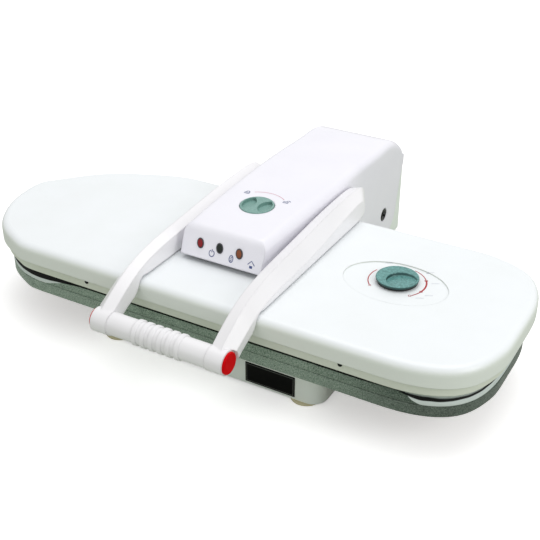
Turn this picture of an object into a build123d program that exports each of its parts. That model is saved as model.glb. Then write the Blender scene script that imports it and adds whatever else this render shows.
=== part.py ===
from build123d import *
import math
import os

os.makedirs("parts", exist_ok=True)

# Fits and small sizes used all over
cut_over = 4.0
run_gap = 0.05
part_gap = 0.6
wall = 2.8
thin_wall = 2.0

# Stack of heights, from the table up
foot_height = 3.0
base_height = 42.3
board_thickness = 12.3
pad_thickness = 15.2
sole_rim_height = 13.2
cover_height = 22.0
housing_gap = 6.0

base_bottom = foot_height
board_bottom = base_bottom + base_height
board_top = board_bottom + board_thickness
sole_bottom = board_top + pad_thickness
skirt_bottom = sole_bottom + sole_rim_height
cover_top = skirt_bottom + cover_height
housing_bottom = cover_top + housing_gap

# Plan of the pressing plates, its nose at the left and its round end at the right
plate_half_width = 124.5
plate_reach = 320.0
right_curve_length = 122.4
nose_front_length = 116.4
nose_back_length = 176.0
right_power_share = 3.2
nose_front_power_share = 2.06
nose_back_power_share = 1.6
quarter_points_count = 6
sole_inset = 4.8
board_inset = 8.7
cover_edge_radius = 9.0

# Pivot of the head
pivot_y = 253.0
pivot_z = 50.0
axle_radius = 5.0
axle_half_length = 50.0
bush_wall = 2.5

# Housing over the arm
housing_front_half = 50.5
housing_rear_half = 57.5
housing_front_y = -59.5
housing_widest_y = 150.0
housing_rear_y = 316.0
front_face_height = 33.0
front_face_lean = 13.0
crown_height = 37.0
crown_front_y = 70.0
crown_rear_y = 190.0
shoulder_y = 229.0
shoulder_height = 35.8
slope_end_y = 264.0
slope_end_height = 35.0
rear_wall_drop = 8.0
rear_round = 41.0
housing_edge_radius = 11.0
cheek_radius = 40.0
cheek_back_y = 300.0
cheek_back_z = 80.0
neck_front_y = 150.0
underside_thickness = 3.0
cap_recess_radius = 9.3
cap_recess_depth = 1.2

# Handle
shaft_y = 135.0
shaft_z = 127.0
shaft_radius = 6.0
arm_inner_x = 60.0
arm_ridge_x = 73.0
arm_outer_x = 84.0
grip_y = -172.5
grip_z = 82.0
grip_radius = 12.4
rib_proud = 1.6
arm_end_radius = 13.4
cap_radius = 11.8
cap_thickness = 2.6

# Pressure linkage
crank_radius = 18.0
crank_rest_deg = 62.0
anchor_back = 13.0
anchor_drop = 8.0
link_half_width = 4.0
link_eye_radius = 6.0
link_pin_radius = 3.5
link_play = 1.9
anchor_pin_radius = 2.3

# Base
base_half_length = 146.0
base_front_y = -100.0
base_back_y = 190.0
base_corner_radius = 17.0
tower_half_width = 54.2
tower_rear_y = 315.0
tower_round = 79.0
base_plate_thickness = 2.0
foot_radius = 17.0

centre_y = (grip_y - grip_radius - rib_proud + housing_rear_y) / 2


def put(shape, node):
    """Moves a finished piece to the shared frame and writes it."""
    placed = Pos(0, -centre_y, 0) * shape
    solids = placed.solids()
    body = solids[0] if len(solids) == 1 else Compound(children=list(solids))
    export_step(body, os.path.join("parts", node + ".step"))


def box(x0, x1, y0, y1, z0, z1):
    size = (x1 - x0, y1 - y0, z1 - z0)
    return Pos((x0 + x1) / 2, (y0 + y1) / 2, (z0 + z1) / 2) * Box(*size)


def rod_x(x0, x1, y, z, radius):
    return Pos((x0 + x1) / 2, y, z) * Rot(0, 90, 0) * Cylinder(radius, x1 - x0)


def rod_z(x, y, z0, z1, radius):
    return Pos(x, y, (z0 + z1) / 2) * Cylinder(radius, z1 - z0)


def slab_x(points, x0, x1):
    """A side outline in Y and Z, made solid from x0 to x1."""
    face = make_face(Polyline([(x0, y, z) for y, z in points], close=True))
    return extrude(face, amount=x1 - x0, dir=(1, 0, 0))


def plan_curve(z, inset):
    """The closed plan of the pressing plates at one height."""
    half = plate_half_width - inset
    reach = plate_reach - inset

    def quarter(start_x, end_x, start_y, power):
        points = []
        for i in range(quarter_points_count):
            t = math.pi / 2 * i / (quarter_points_count - 1)
            u = math.sin(t) ** (2 / power)
            v = math.cos(t) ** (2 / power)
            points.append((start_x + (end_x - start_x) * u, start_y * v, z))
        return points

    right_x = plate_reach - right_curve_length
    front_x = nose_front_length - plate_reach
    back_x = nose_back_length - plate_reach
    ends = [
        quarter(right_x, reach, -half, right_power_share),
        quarter(right_x, reach, half, right_power_share)[::-1],
        quarter(back_x, -reach, half, nose_back_power_share),
        quarter(front_x, -reach, -half, nose_front_power_share)[::-1],
    ]
    ways = [((1, 0, 0), (0, 1, 0)), ((0, 1, 0), (-1, 0, 0)), ((-1, 0, 0), (0, -1, 0)), ((0, -1, 0), (1, 0, 0))]
    edges = [Spline(points, tangents=way) for points, way in zip(ends, ways)]
    edges.append(Line((right_x, half, z), (back_x, half, z)))
    edges.append(Line((front_x, -half, z), (right_x, -half, z)))
    return make_face(edges)


def plan_slab(inset, z0, z1):
    return extrude(plan_curve(z0, inset), amount=z1 - z0, dir=(0, 0, 1))


def top_edges(shape, z):
    return [e for e in shape.edges() if abs(e.bounding_box().min.Z - z) < run_gap
            and abs(e.bounding_box().max.Z - z) < run_gap]


# Cover over the heated plate
oval_x = 176.0
oval_y = 9.0
oval_half_length = 58.0
oval_half_depth = 41.0
oval_sink = 1.2
dial_x = 176.0
dial_y = 14.5
dial_radius = 23.2
dial_height = 5.4
spindle_radius = 4.0
saddle_half_length = 38.0
saddle_front_y = -40.0
saddle_back_y = 100.0
post_radius = 5.0
post_flange_radius = 8.0
post_places = [(-1, 0), (1, 0), (-1, 1), (1, 1)]
floor_under_oval = 2.6


def cover_shell():
    outer = plan_slab(0, skirt_bottom, cover_top)
    outer = fillet(top_edges(outer, cover_top), cover_edge_radius)
    ceiling = cover_top - wall
    inner = plan_slab(wall, skirt_bottom - cut_over, ceiling)
    inner = fillet(top_edges(inner, ceiling), cover_edge_radius - wall)
    shell = outer - inner
    oval = extrude(Plane.XY * Ellipse(oval_half_length, oval_half_depth), amount=oval_sink + cut_over)
    pad = extrude(Plane.XY * Ellipse(oval_half_length + wall, oval_half_depth + wall), amount=floor_under_oval)
    shell = shell + Pos(oval_x, oval_y, cover_top - oval_sink - floor_under_oval) * pad
    shell = shell - Pos(oval_x, oval_y, cover_top - oval_sink) * oval
    shell = shell - rod_z(dial_x, dial_y, skirt_bottom, cover_top + cut_over, spindle_radius + part_gap)
    for x, y in post_spots():
        shell = shell - rod_z(x, y, skirt_bottom, cover_top + cut_over, post_radius + run_gap)
    return shell


def post_spots():
    middle = (saddle_front_y + saddle_back_y) / 2
    reach = (saddle_back_y - saddle_front_y) / 2 - housing_gap - post_radius * 2
    side = saddle_half_length - housing_gap - post_radius
    return [(side * a, middle + reach * (b + b - 1)) for a, b in post_places]


# Heated plate with its steam holes, the heater and its safety parts
sole_top_rise = 2.0
sole_edge_cut = 1.2
sole_pocket_depth = 7.0
sole_rim_wall = 7.0
steam_hole_radius = 2.2
steam_hole_depth = 5.0
steam_row_pitch = 34.0
steam_column_pitch = 42.0
steam_rows_count = 5
steam_columns_count = 9
element_radius = 3.6
element_inset = 46.0
element_half_reach = 190.0
element_bend = 30.0
hidden_post_radius = 6.0
hidden_post_x = 100.0
hidden_post_y = 52.0

sole_top = skirt_bottom + sole_top_rise
sole_floor = sole_top - sole_pocket_depth


def sole_plate():
    plate = plan_slab(sole_inset, sole_bottom, sole_top)
    plate = chamfer(top_edges(plate, sole_bottom), sole_edge_cut)
    plate = plate - plan_slab(sole_inset + sole_rim_wall, sole_floor, sole_top + cut_over)
    for row in range(steam_rows_count):
        for column in range(steam_columns_count):
            x = (column - (steam_columns_count - 1) / 2) * steam_column_pitch
            y = (row - (steam_rows_count - 1) / 2) * steam_row_pitch
            shift = steam_column_pitch / 4 * (row % 2 * 2 - 1)
            plate = plate - rod_z(x + shift, y, sole_bottom - cut_over, sole_bottom + steam_hole_depth,
                                  steam_hole_radius)
    return plate


def heating_element():
    side = plate_half_width - element_inset
    z = sole_floor + element_radius
    path = FilletPolyline([
        (element_half_reach, side, z),
        (element_bend - element_half_reach, side, z),
        (-element_half_reach, 0, z),
        (element_bend - element_half_reach, -side, z),
        (element_half_reach, -side, z),
    ], radius=element_bend / 2)
    ring = Plane(origin=path @ 0, z_dir=path % 0) * Circle(element_radius)
    return sweep(ring, path=path)


def cover_posts():
    posts = []
    for a in (-1, 1):
        for b in (-1, 1):
            posts.append(rod_z(hidden_post_x * a, hidden_post_y * b, sole_floor, cover_top - wall,
                               hidden_post_radius))
    return Compound(children=posts)


thermostat_radius = 9.0
thermostat_height = 9.0
fuse_length = 26.0
fuse_width = 10.0
fuse_height = 6.0
fuse_x = 60.0


def thermostat():
    can = rod_z(dial_x, dial_y, sole_floor, sole_floor + thermostat_height, thermostat_radius)
    neck = rod_z(dial_x, dial_y, sole_floor + thermostat_height, sole_floor + thermostat_height + thin_wall,
                 spindle_radius)
    ears = box(dial_x - thermostat_radius - fuse_width, dial_x + thermostat_radius + fuse_width,
               dial_y - spindle_radius, dial_y + spindle_radius, sole_floor, sole_floor + thin_wall)
    return can + neck + ears


def thermal_fuse():
    return box(fuse_x, fuse_x + fuse_length, -fuse_width / 2, fuse_width / 2, sole_floor, sole_floor + fuse_height)


# Dial on the cover
dial_dish_depth = 3.4
knob_rim = 2.2
pocket_offset_share = 0.92
pocket_radius_share = 0.79
dial_bar_deg = -20.0
lock_bar_deg = 90.0


def knob(radius, height, dish, bar_deg):
    """A round knob with a lens-shaped pocket on each side of its waisted bar."""
    body = Pos(0, 0, height / 2) * Cylinder(radius, height)
    body = chamfer(top_edges(body, height), knob_rim / 3)
    low = height - dish
    crown = Pos(0, 0, low) * extrude(Circle(radius - knob_rim), amount=dish + cut_over)
    for side in (-1, 1):
        pocket = extrude(Circle(radius * pocket_radius_share), amount=dish + cut_over)
        body = body - (crown & Pos(0, side * radius * pocket_offset_share, low) * pocket)
    return Rot(0, 0, bar_deg) * body


def dial_knob():
    seat = cover_top - oval_sink + part_gap
    crown = Pos(dial_x, dial_y, seat) * knob(dial_radius, dial_height, dial_dish_depth, dial_bar_deg)
    foot = sole_floor + thermostat_height + thin_wall
    spindle = rod_z(dial_x, dial_y, foot, seat + knob_rim, spindle_radius)
    return crown + spindle


# Housing forms
crown_start_share = 0.08
plan_start_share = 0.06
rear_bulge_share = 0.65


def housing_outline(inset, drop):
    """Side outline of the arm housing, drawn in by the wall."""
    low = housing_bottom
    lean = front_face_lean / front_face_height
    front = housing_front_y + inset
    top_front = front + lean * front_face_height
    rear = housing_rear_y - inset
    rear_high = low + slope_end_height - rear_round
    top = low + slope_end_height - inset
    rear_low = low - rear_wall_drop - drop
    crown = Spline([
        (0, top_front, low + front_face_height - inset),
        (0, crown_front_y, low + crown_height - inset),
        (0, crown_rear_y, low + crown_height - inset),
        (0, shoulder_y, low + shoulder_height - inset),
        (0, slope_end_y, top),
        (0, slope_end_y + (rear - slope_end_y) * rear_bulge_share, rear_high + (top - rear_high) * rear_bulge_share),
        (0, rear, rear_high),
    ], tangents=((0, 1, crown_start_share), (0, 0, -1)))
    rest = Polyline([
        (0, rear, rear_high),
        (0, rear, rear_low),
        (0, neck_front_y, rear_low),
        (0, neck_front_y, low - drop),
        (0, front - lean * drop, low - drop),
        (0, top_front, low + front_face_height - inset),
    ])
    return make_face([crown] + list(rest.edges()))


def housing_block(inset, drop):
    side = housing_outline(inset, drop)
    width = housing_rear_half * 2
    block = Pos(-width, 0, 0) * extrude(side, amount=width * 2, dir=(1, 0, 0))
    front_half = housing_front_half - inset
    rear_half = housing_rear_half - inset
    front = housing_front_y - cut_over
    rear = housing_rear_y - inset
    ways = ((plan_start_share, 1, 0), (0, 1, 0))
    right = Spline([(front_half, front, 0), (rear_half, housing_widest_y, 0)], tangents=ways)
    ways = ((-plan_start_share, 1, 0), (0, 1, 0))
    left = Spline([(-front_half, front, 0), (-rear_half, housing_widest_y, 0)], tangents=ways)
    back = Polyline([(rear_half, housing_widest_y, 0), (rear_half, rear + cut_over, 0),
                     (-rear_half, rear + cut_over, 0), (-rear_half, housing_widest_y, 0)])
    nose = Line((-front_half, front, 0), (front_half, front, 0))
    plan = extrude(make_face([right, left, nose] + list(back.edges())), amount=housing_bottom * 2, dir=(0, 0, 1))
    return block & plan


def rounded_block(inset, drop):
    """The housing block with its crown, front and rear edges rounded."""
    block = housing_block(inset, drop)
    brow = housing_bottom + front_face_height - inset - run_gap
    edges = []
    for e in block.edges():
        frame = e.bounding_box()
        crown = frame.max.Z > brow and frame.size.Y > plate_half_width
        front = frame.min.Z > brow and frame.size.Y < run_gap
        rear = frame.min.Y > housing_rear_y - inset - run_gap and frame.size.X < run_gap
        if crown or front or rear:
            edges.append(e)
    return fillet(edges, housing_edge_radius - inset)


def neck_outline():
    """Side outline of the cheeks that reach down to the pivot."""
    low = housing_bottom
    a = math.atan2(cheek_back_z - pivot_z, cheek_back_y - pivot_y)
    reach = math.hypot(cheek_back_z - pivot_z, cheek_back_y - pivot_y)
    leave = a - math.acos(min(1, cheek_radius / reach))
    arc = []
    steps = 14
    stop = -math.pi - neck_tangent()
    for i in range(steps + 1):
        t = leave + (stop - leave) * i / steps
        arc.append((pivot_y + cheek_radius * math.cos(t), pivot_z + cheek_radius * math.sin(t)))
    top = low + wall
    return [(cheek_front_y, top), (cheek_front_y, low)] + arc[::-1] + [
        (cheek_back_y, cheek_back_z), (housing_rear_y - cheek_lean, low - rear_wall_drop),
        (housing_rear_y - cheek_lean, top)]


cheek_front_y = 127.0
cheek_lean = 7.0


def neck_tangent():
    y = pivot_y - cheek_front_y
    z = housing_bottom - pivot_z
    return math.acos(cheek_radius / math.hypot(y, z)) - math.atan2(z, y)


def arm_housing():
    outer = rounded_block(0, 0)
    inner = rounded_block(wall, housing_bottom)
    neck = slab_x(neck_outline(), -housing_rear_half, housing_rear_half)
    shell = outer + neck - inner
    inner_half = housing_rear_half - wall
    hollow = box(-inner_half, inner_half, neck_front_y + wall * 2, housing_rear_y - wall, 0, housing_bottom)
    shell = shell - hollow
    shell = shell - rod_x(-arm_inner_x, arm_inner_x, shaft_y, shaft_z, shaft_radius + part_gap)
    reach = housing_rear_half + cut_over
    for side in (-1, 1):
        ends = sorted((side * (housing_rear_half - cap_recess_depth), side * reach))
        shell = shell - rod_x(ends[0], ends[1], pivot_y, pivot_z, cap_recess_radius)
    shell = shell - lock_space(lock_radius + part_gap)
    for x in lamp_places():
        shell = shell - lamp_oval(x, run_gap, -wall * 2, wall)
    return shell


# Front lamps
lamp_pitch = 24.6
lamp_middle_x = -3.2
lamp_height = 15.5
lamp_half_width = 2.9
lamp_half_height = 4.5
lamp_tilt_deg = 14.0
bezel_wall = 1.3
bezel_height = 0.8


def front_angle():
    return math.degrees(math.atan2(front_face_lean, front_face_height))


def lamp_places():
    return [lamp_middle_x + lamp_pitch * i for i in (-1, 0, 1)]


def lamp_oval(x, grow, start, stop):
    """An upright oval bar square to the front face."""
    y = housing_front_y + lamp_height * front_face_lean / front_face_height
    z = housing_bottom + lamp_height
    bar = extrude(Plane.XY * Ellipse(lamp_half_width + grow, lamp_half_height + grow), amount=stop - start)
    return Pos(x, y, z) * Rot(90 - front_angle(), 0, 0) * Pos(0, 0, start) * Rot(0, 0, lamp_tilt_deg) * bar


def lamp_lens(x):
    return lamp_oval(x, 0, -wall * 2, bezel_height + bezel_height / 2)


def lamp_bezels():
    rings = []
    for x in lamp_places():
        ring = lamp_oval(x, bezel_wall, 0, bezel_height)
        rings.append(ring - lamp_oval(x, run_gap, -bezel_height, bezel_height * 2))
    return Compound(children=rings)


# Lock knob in the top of the housing
lock_radius = 19.6
lock_y = 20.5
lock_height = 6.0
lock_dish = 3.6
lock_proud = 1.6
cam_radius = 11.0
cam_height = 7.0


def lock_spot():
    lift = (lock_y - housing_front_y - front_face_lean) / (crown_front_y - housing_front_y - front_face_lean)
    rise = front_face_height + (crown_height - front_face_height) * lift ** lock_curve_share
    return housing_bottom + rise


lock_curve_share = 0.8
lock_tilt_deg = 2.5


def lock_space(radius):
    rod = Pos(0, 0, -lock_height / 2) * Cylinder(radius, lock_height * 2 + cut_over * 2)
    return Pos(0, lock_y, lock_spot()) * Rot(lock_tilt_deg, 0, 0) * rod


def lock_knob():
    crown = Pos(0, 0, lock_proud - lock_height) * knob(lock_radius, lock_height, lock_dish, lock_bar_deg)
    stem_low = lock_proud - lock_height - cam_height
    stem = rod_z(0, 0, stem_low, lock_proud - lock_height + thin_wall / 2, spindle_radius)
    cam = box(-spindle_radius, cam_radius, -spindle_radius, spindle_radius, stem_low, stem_low + thin_wall)
    return Pos(0, lock_y, lock_spot()) * Rot(lock_tilt_deg, 0, 0) * (crown + stem + cam)


# Underside, saddle and steel frame of the head
frame_side_x = 34.0
frame_plate = 3.0
frame_depth = 18.0
eye_radius = 13.0
web_front_y = -30.0
web_back_y = 80.0


def housing_underside():
    front_half = housing_front_half - wall - part_gap
    rear_half = housing_rear_half - wall - part_gap
    span = housing_widest_y - housing_front_y
    back = neck_front_y - part_gap
    back_half = front_half + (rear_half - front_half) * (back - housing_front_y) / span
    front = housing_front_y + wall * 2
    plate = extrude(make_face(Polyline([
        (-front_half, front, housing_bottom), (front_half, front, housing_bottom),
        (back_half, back, housing_bottom), (-back_half, back, housing_bottom)], close=True)),
        amount=underside_thickness, dir=(0, 0, 1))
    for x, y in post_spots():
        plate = plate - rod_z(x, y, cover_top, housing_bottom * 2, post_radius + run_gap)
    return plate


def saddle():
    pad = box(-saddle_half_length, saddle_half_length, saddle_front_y, saddle_back_y, cover_top, housing_bottom)
    pad = fillet([e for e in pad.edges() if e.bounding_box().size.Z > housing_gap / 2], post_radius)
    for x, y in post_spots():
        pad = pad - rod_z(x, y, cover_top - cut_over, housing_bottom + cut_over, post_radius + run_gap)
    return pad


def saddle_posts():
    posts = []
    top = housing_bottom + underside_thickness
    for x, y in post_spots():
        post = rod_z(x, y, cover_top - wall - thin_wall, top, post_radius)
        posts.append(post + rod_z(x, y, cover_top - wall - thin_wall, cover_top - wall, post_flange_radius))
    return Compound(children=posts)


def frame_side(x0, x1):
    low = housing_bottom + underside_thickness
    high = low + frame_depth
    bar = slab_x([
        (web_front_y, low), (neck_front_y, low), (pivot_y - eye_radius, pivot_z),
        (pivot_y + eye_radius, pivot_z), (pivot_y - eye_radius / 4, low), (neck_front_y + frame_depth, high),
        (web_front_y, high)], x0, x1)
    bar = bar + rod_x(x0, x1, pivot_y, pivot_z, eye_radius)
    bar = bar - rod_x(x0 - cut_over, x1 + cut_over, pivot_y, pivot_z, axle_radius + bush_wall)
    return bar - rod_x(x0 - cut_over, x1 + cut_over, shaft_y, shaft_z, shaft_radius + run_gap)


def head_frame():
    left = frame_side(-frame_side_x - frame_plate, -frame_side_x)
    right = frame_side(frame_side_x, frame_side_x + frame_plate)
    low = housing_bottom + underside_thickness
    web = box(-frame_side_x - frame_plate, frame_side_x + frame_plate, web_front_y, web_back_y, low, low + frame_plate)
    return left + right + web


def pivot_bushes():
    bushes = []
    for side in (-1, 1):
        ends = sorted((side * (frame_side_x - thin_wall), side * (frame_side_x + frame_plate + thin_wall)))
        bush = rod_x(ends[0], ends[1], pivot_y, pivot_z, axle_radius + bush_wall)
        bushes.append(bush - rod_x(ends[0] - cut_over, ends[1] + cut_over, pivot_y, pivot_z, axle_radius + run_gap))
    return Compound(children=bushes)


def pivot_caps():
    caps = []
    for side in (-1, 1):
        ends = sorted((side * (housing_rear_half - cap_recess_depth), side * (housing_rear_half - bezel_height / 2)))
        caps.append(rod_x(ends[0], ends[1], pivot_y, pivot_z, cap_recess_radius - part_gap))
    return Compound(children=caps)


# Water and control parts inside the housing
tank_half_width = 26.0
tank_length = 46.0
tank_height = 22.0
pump_radius = 10.0
pump_length = 40.0
pump_y = 4.0
board_card_half = 40.0
board_card_height = 22.0
board_card_thickness = 1.6
board_card_y = -37.0
hose_radius = 3.0


def tank_front():
    return lock_y + cam_radius + part_gap * 2


def floor_in_housing():
    return housing_bottom + underside_thickness + frame_plate


def water_reservoir():
    tank = box(-tank_half_width, tank_half_width, tank_front(), tank_front() + tank_length,
               floor_in_housing(), floor_in_housing() + tank_height)
    return fillet([e for e in tank.edges() if e.bounding_box().size.Z > tank_height / 2], hose_radius)


def pump():
    z = floor_in_housing() + pump_radius
    motor = rod_x(-pump_length / 2, pump_length / 2, pump_y, z, pump_radius)
    return motor + rod_x(-pump_length / 2 - hose_radius * 2, -pump_length / 2, pump_y, z, hose_radius * 2)


def steam_hose():
    z = floor_in_housing() + pump_radius
    return rod_y(0, pump_y + pump_radius, tank_front(), z, hose_radius)


def rod_y(x, y0, y1, z, radius):
    return Pos(x, (y0 + y1) / 2, z) * Rot(90, 0, 0) * Cylinder(radius, y1 - y0)


def control_board():
    low = housing_bottom + underside_thickness
    return box(-board_card_half, board_card_half, board_card_y, board_card_y + board_card_thickness,
               low, low + board_card_height)


# Handle: two swept arms, the shaft, the grip and its red end caps
arm_crest_drop = 4.0
arm_nose_x = 80.0
foot_lift = 2.0
arm_back_drop = 1.0
arm_rise = 42.0
crest_y_shares = [-0.008, 0.07, 0.167, 0.285, 0.476, 0.607, 0.753, 0.896, 0.984, 1.03]
crest_z_shares = [0.31, 0.667, 1.0, 1.19, 1.31, 1.38, 1.45, 1.476, 1.452, 1.35]
inner_height_shares = [1, 1, 1, 1, 1, 1, 1, 1, 1, 1]
outer_height_shares = [0.3, 0.3, 0.3, 0.3, 0.32, 0.37, 0.47, 0.61, 0.7, 0.74]
keel_y_shares = [0.205, 0.164, 0.147, 0.102, 0.044]
keel_z_shares = [0, 0.09, 0.40, 0.71, 1.06]
tail_share = 1.052
heel_share = 0.985
outer_reach_share = 0.935
rib_count = 6
rib_pitch = 10.4
rib_width = 6.0
rib_slope = 1.2


def handle_outline(x, drop, reach, height_shares):
    """Side outline of one arm at one distance from the middle."""
    span = shaft_y - grip_y
    flat = cover_top + foot_lift
    sink = flat - grip_z
    keel = [(x, grip_y + span * a, flat - sink * b) for a, b in zip(keel_y_shares, keel_z_shares)]
    edge_y = keel[0][1]
    crest = []
    for a, b, share in zip(crest_y_shares, crest_z_shares, height_shares):
        y = grip_y + span * a * reach
        low = flat if y > edge_y else flat - sink * min(1, (edge_y - y) / (edge_y - grip_y))
        high = grip_z + arm_rise * b - drop
        crest.append((x, y, low + (high - low) * share))
    tail = (x, grip_y + span * tail_share * reach, flat + (shaft_z - arm_back_drop - flat) * height_shares[-1])
    heel = (x, grip_y + span * heel_share * reach, flat)
    upper = Spline(crest + [tail])
    back = Spline([tail, heel], tangents=((0, 0, -1), (0, -1, 0)))
    under = Line(heel, keel[0])
    nose = Spline(keel)
    shut = Line(keel[-1], crest[0])
    return make_face([upper, back, under, nose, shut])


def handle_arm(side):
    inner = handle_outline(side * arm_inner_x, arm_crest_drop, 1, inner_height_shares)
    ridge = handle_outline(side * arm_ridge_x, 0, 1, inner_height_shares)
    outer = handle_outline(side * arm_outer_x, 0, outer_reach_share, outer_height_shares)
    arm = loft([inner, ridge], ruled=True) + loft([ridge, outer], ruled=True)
    ends = sorted((side * arm_inner_x, side * arm_nose_x))
    arm = arm + rod_x(ends[0], ends[1], grip_y, grip_z, arm_end_radius)
    reach = sorted((side * (arm_inner_x - cut_over), side * (arm_ridge_x + thin_wall)))
    arm = arm - rod_x(reach[0], reach[1], shaft_y, shaft_z, shaft_radius + run_gap)
    reach = sorted((side * arm_nose_x, side * (arm_outer_x + cut_over)))
    return arm - rod_x(reach[0], reach[1], grip_y, grip_z, arm_end_radius + run_gap)


def grip():
    bar = rod_x(-arm_inner_x, arm_inner_x, grip_y, grip_z, grip_radius)
    for i in range(rib_count):
        x = (i - (rib_count - 1) / 2) * rib_pitch
        rib = rod_x(x - rib_width / 2, x + rib_width / 2, grip_y, grip_z, grip_radius + rib_proud)
        bar = bar + chamfer([e for e in rib.edges() if e.geom_type == GeomType.CIRCLE], rib_slope)
    return bar


def grip_cap(side):
    ends = sorted((side * arm_nose_x, side * (arm_nose_x + cap_thickness)))
    cap = rod_x(ends[0], ends[1], grip_y, grip_z, cap_radius)
    outer = [e for e in cap.edges() if e.geom_type == GeomType.CIRCLE
             and abs(e.center().X - side * (arm_nose_x + cap_thickness)) < run_gap]
    return chamfer(outer, cap_thickness / 3)


def handle_shaft():
    return rod_x(-arm_ridge_x, arm_ridge_x, shaft_y, shaft_z, shaft_radius)


# Crank, link and anchor of the pressure linkage
crank_plate = 4.0
crank_hub_wall = 3.0
crank_eye_radius = 5.0


def crank_spot():
    a = math.radians(crank_rest_deg)
    return shaft_y + crank_radius * math.cos(a), shaft_z + crank_radius * math.sin(a)


def anchor_spot():
    return pivot_y - anchor_back, pivot_z - anchor_drop


def strap(x0, x1, start, stop, radius):
    """A flat bar with round ends between two centres."""
    y, z = start
    away, up = stop[0] - y, stop[1] - z
    length = math.hypot(away, up)
    bar = box(x0, x1, 0, length, -radius, radius)
    bar = Pos(0, y, z) * Rot(math.degrees(math.atan2(up, away)), 0, 0) * bar
    return bar + rod_x(x0, x1, y, z, radius) + rod_x(x0, x1, stop[0], stop[1], radius)


def crank():
    inner = link_half_width + part_gap
    plates = []
    for side in (-1, 1):
        ends = sorted((side * inner, side * (inner + crank_plate)))
        plates.append(strap(ends[0], ends[1], (shaft_y, shaft_z), crank_spot(), crank_eye_radius)
                      + rod_x(ends[0], ends[1], shaft_y, shaft_z, shaft_radius + crank_hub_wall))
    y, z = crank_spot()
    reach = inner + crank_plate
    web = rod_x(-reach, reach, y, z, link_pin_radius)
    both = plates[0] + plates[1] + web
    return both - rod_x(-reach - cut_over, reach + cut_over, shaft_y, shaft_z, shaft_radius + run_gap)


def pressure_link():
    bar = strap(-link_half_width, link_half_width, crank_spot(), anchor_spot(), link_eye_radius - thin_wall / 4)
    y, z = crank_spot()
    bar = bar - rod_x(-arm_inner_x, arm_inner_x, y, z, link_pin_radius + run_gap)
    y, z = anchor_spot()
    return bar - rod_x(-arm_inner_x, arm_inner_x, y, z, anchor_pin_radius + link_play)


# Base: shell, bottom plate, feet, hinge bracket, rear cover, board and pad
bracket_x = 44.0
bracket_plate = 3.0
bracket_radius = 13.0
bracket_half_depth = 26.0
boss_radius = 5.0
boss_x = 120.0
boss_y = 60.0
base_top_round = 4.0
foot_end_inset = 23.5
foot_front_inset = 14.0
foot_back_inset = 24.0
foot_rear_x = 34.0
foot_rear_y = 292.0
gland_x = -30.0
gland_z = 22.0
gland_radius = 7.5
gland_bore = 4.2
gland_length = 16.0
gland_flange_radius = 10.0
gland_flange_thickness = 1.0
label_length = 60.0
label_end_gap = 30.0
label_top_z = 31.0
label_bottom_z = 6.0
label_thickness = 0.6
tower_front_height = 38.0
tower_end_deg = 62.0
tower_steps = 8
felt_thickness = 2.0


def base_shell():
    body = box(-base_half_length, base_half_length, base_front_y, base_back_y, base_bottom, board_bottom)
    body = fillet([e for e in body.edges() if e.bounding_box().size.Z > base_height / 2], base_corner_radius)
    room = box(-base_half_length + wall, base_half_length - wall, base_front_y + wall, base_back_y - wall,
               base_bottom - cut_over, board_bottom - wall)
    room = fillet([e for e in room.edges() if e.bounding_box().size.Z > base_height / 2], base_corner_radius - wall)
    body = body - room
    for x in (-boss_x, 0, boss_x):
        for y in (boss_y - boss_x, boss_y + boss_x):
            body = body + rod_z(x, y, base_bottom + base_plate_thickness, board_bottom - wall / 2, boss_radius)
    return body


def base_plate():
    gap = wall + part_gap / 4
    plate = box(-base_half_length + gap, base_half_length - gap, base_front_y + gap, base_back_y - gap,
                base_bottom, base_bottom + base_plate_thickness)
    plate = fillet([e for e in plate.edges() if e.bounding_box().size.Z > thin_wall / 2], base_corner_radius - gap)
    return plate


def tower_outline(inset):
    """Side outline of the rear cover, its crown an arc about the pivot."""
    rear = tower_rear_y - inset
    radius = tower_round - inset
    low_deg = math.degrees(math.acos((rear - pivot_y) / radius))
    points = [(base_back_y, base_bottom), (rear, base_bottom)]
    for i in range(tower_steps + 1):
        a = math.radians(low_deg + (tower_end_deg - low_deg) * i / tower_steps)
        points.append((pivot_y + radius * math.cos(a), pivot_z + radius * math.sin(a)))
    points.append((pivot_y - cheek_radius / 2, pivot_z + cheek_radius / 4))
    points.append((base_back_y, base_bottom + tower_front_height))
    return points


def rear_cover():
    solid = slab_x(tower_outline(0), -tower_half_width, tower_half_width)
    inner = tower_half_width - wall
    hollow = slab_x([(base_back_y - cut_over, 0)] + [(y, z if z > base_bottom else 0)
                    for y, z in tower_outline(wall)[1:-2]]
                    + [(pivot_y, pivot_z + tower_round + cut_over), (base_back_y - cut_over, pivot_z + tower_round)],
                    -inner, inner)
    body = solid - hollow
    floor = box(-inner - wall / 2, inner + wall / 2, base_back_y, tower_rear_y - wall / 2,
                base_bottom, base_bottom + base_plate_thickness)
    body = body + floor
    return body - rod_y(gland_x, tower_rear_y - wall * 2, tower_rear_y + cut_over, gland_z, gland_radius + run_gap)


def feet():
    across = base_half_length - foot_end_inset
    rows = (base_front_y + foot_front_inset, base_back_y - foot_back_inset)
    spots = [(side * across, y) for side in (-1, 1) for y in rows]
    spots = spots + [(side * foot_rear_x, foot_rear_y) for side in (-1, 1)]
    return Compound(children=[rod_z(x, y, 0, foot_height, foot_radius) for x, y in spots])


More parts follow.
